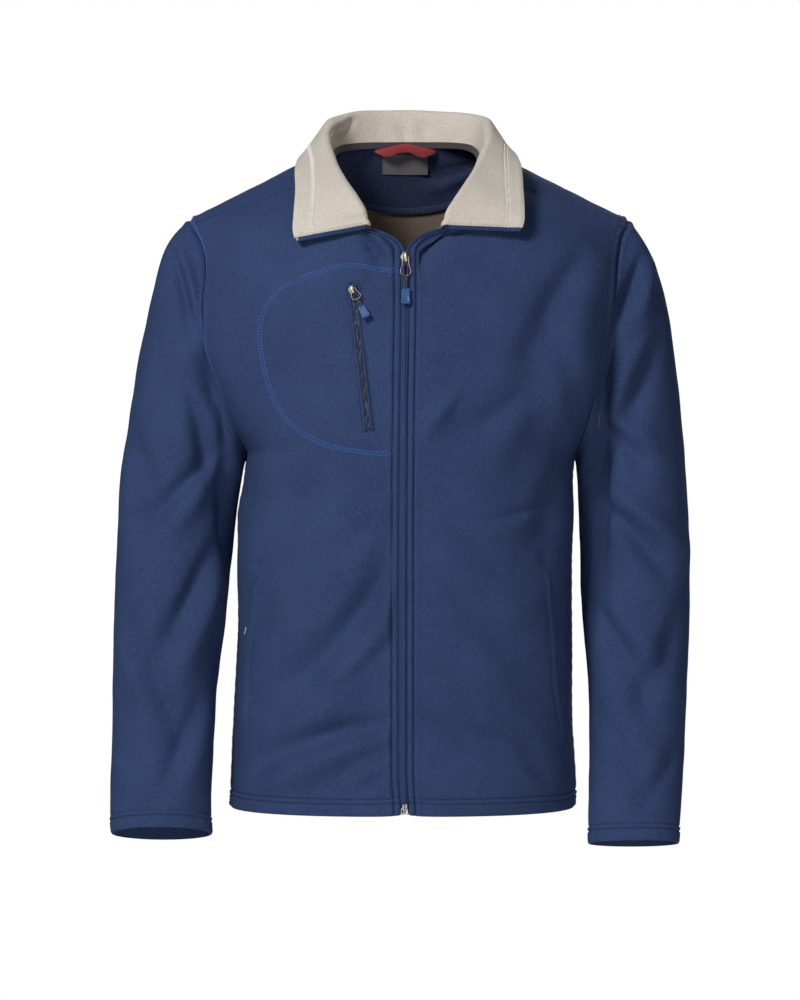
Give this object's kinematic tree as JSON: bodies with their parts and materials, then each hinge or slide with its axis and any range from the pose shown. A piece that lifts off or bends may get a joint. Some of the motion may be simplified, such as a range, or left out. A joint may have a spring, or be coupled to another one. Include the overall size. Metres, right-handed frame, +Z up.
{
  "type": "fleece zip jacket",
  "caption": "Navy fleece jacket, filled out as worn, with a full front zip, a slanting chest zip, long sleeves and a turned-down collar faced in pale beige.",
  "frame": {"origin": "the middle of the neck, level with the high points of the shoulders, where a wearer carries the jacket", "axes": "+Z up, -Y out of the front, -X towards the wearer's right"},
  "size_m": [0.6226, 0.269, 0.8045],
  "materials": {
    "fleece_navy": "short brushed fleece, matt",
    "fleece_beige": "short brushed fleece, matt",
    "twill_taupe": "woven tape",
    "satin_charcoal": "woven label cloth, slight sheen",
    "twill_red": "twill ribbon",
    "zip_blue": "woven zip tape with a nylon coil",
    "nickel": "nickel plate",
    "cord_navy": "braided cord",
    "tab_blue": "moulded, satin"
  },
  "bodies": {
    "jacket": {"front_right": "fleece_navy", "front_left": "fleece_navy", "back": "fleece_navy", "sleeve_right": "fleece_navy", "sleeve_left": "fleece_navy", "collar_outer": "fleece_navy", "collar_facing": "fleece_beige", "back_neck_yoke": "fleece_navy", "neck_tape": "twill_taupe", "neck_label": "satin_charcoal", "hang_loop": "twill_red", "zip_tape_right": "zip_blue", "zip_tape_left": "zip_blue", "collar_zip_right": "zip_blue", "collar_zip_left": "zip_blue", "chest_zip": "zip_blue", "top_stop_right": "nickel", "top_stop_left": "nickel", "zip_box": "nickel", "zip_slider": "nickel", "chest_slider": "nickel"},
    "front_pull": {"zip_bail": "nickel", "zip_pull_cord": "cord_navy", "zip_pull_tab": "tab_blue"},
    "chest_pull": {"chest_bail": "nickel", "chest_pull_cord": "cord_navy", "chest_pull_tab": "tab_blue"}
  },
  "joints": [
    {"name": "front_pull_swing", "type": "hinge", "parent": "jacket", "child": "front_pull", "pos_m": [0, -0.11476, -0.12071], "axis": [-1, 0, 0], "range_deg": [0, 150]},
    {"name": "chest_pull_swing", "type": "hinge", "parent": "jacket", "child": "chest_pull", "pos_m": [-0.05584, -0.123, -0.15541], "axis": [-0.9012, -0.0483, -0.4307], "range_deg": [0, 150]}
  ]
}
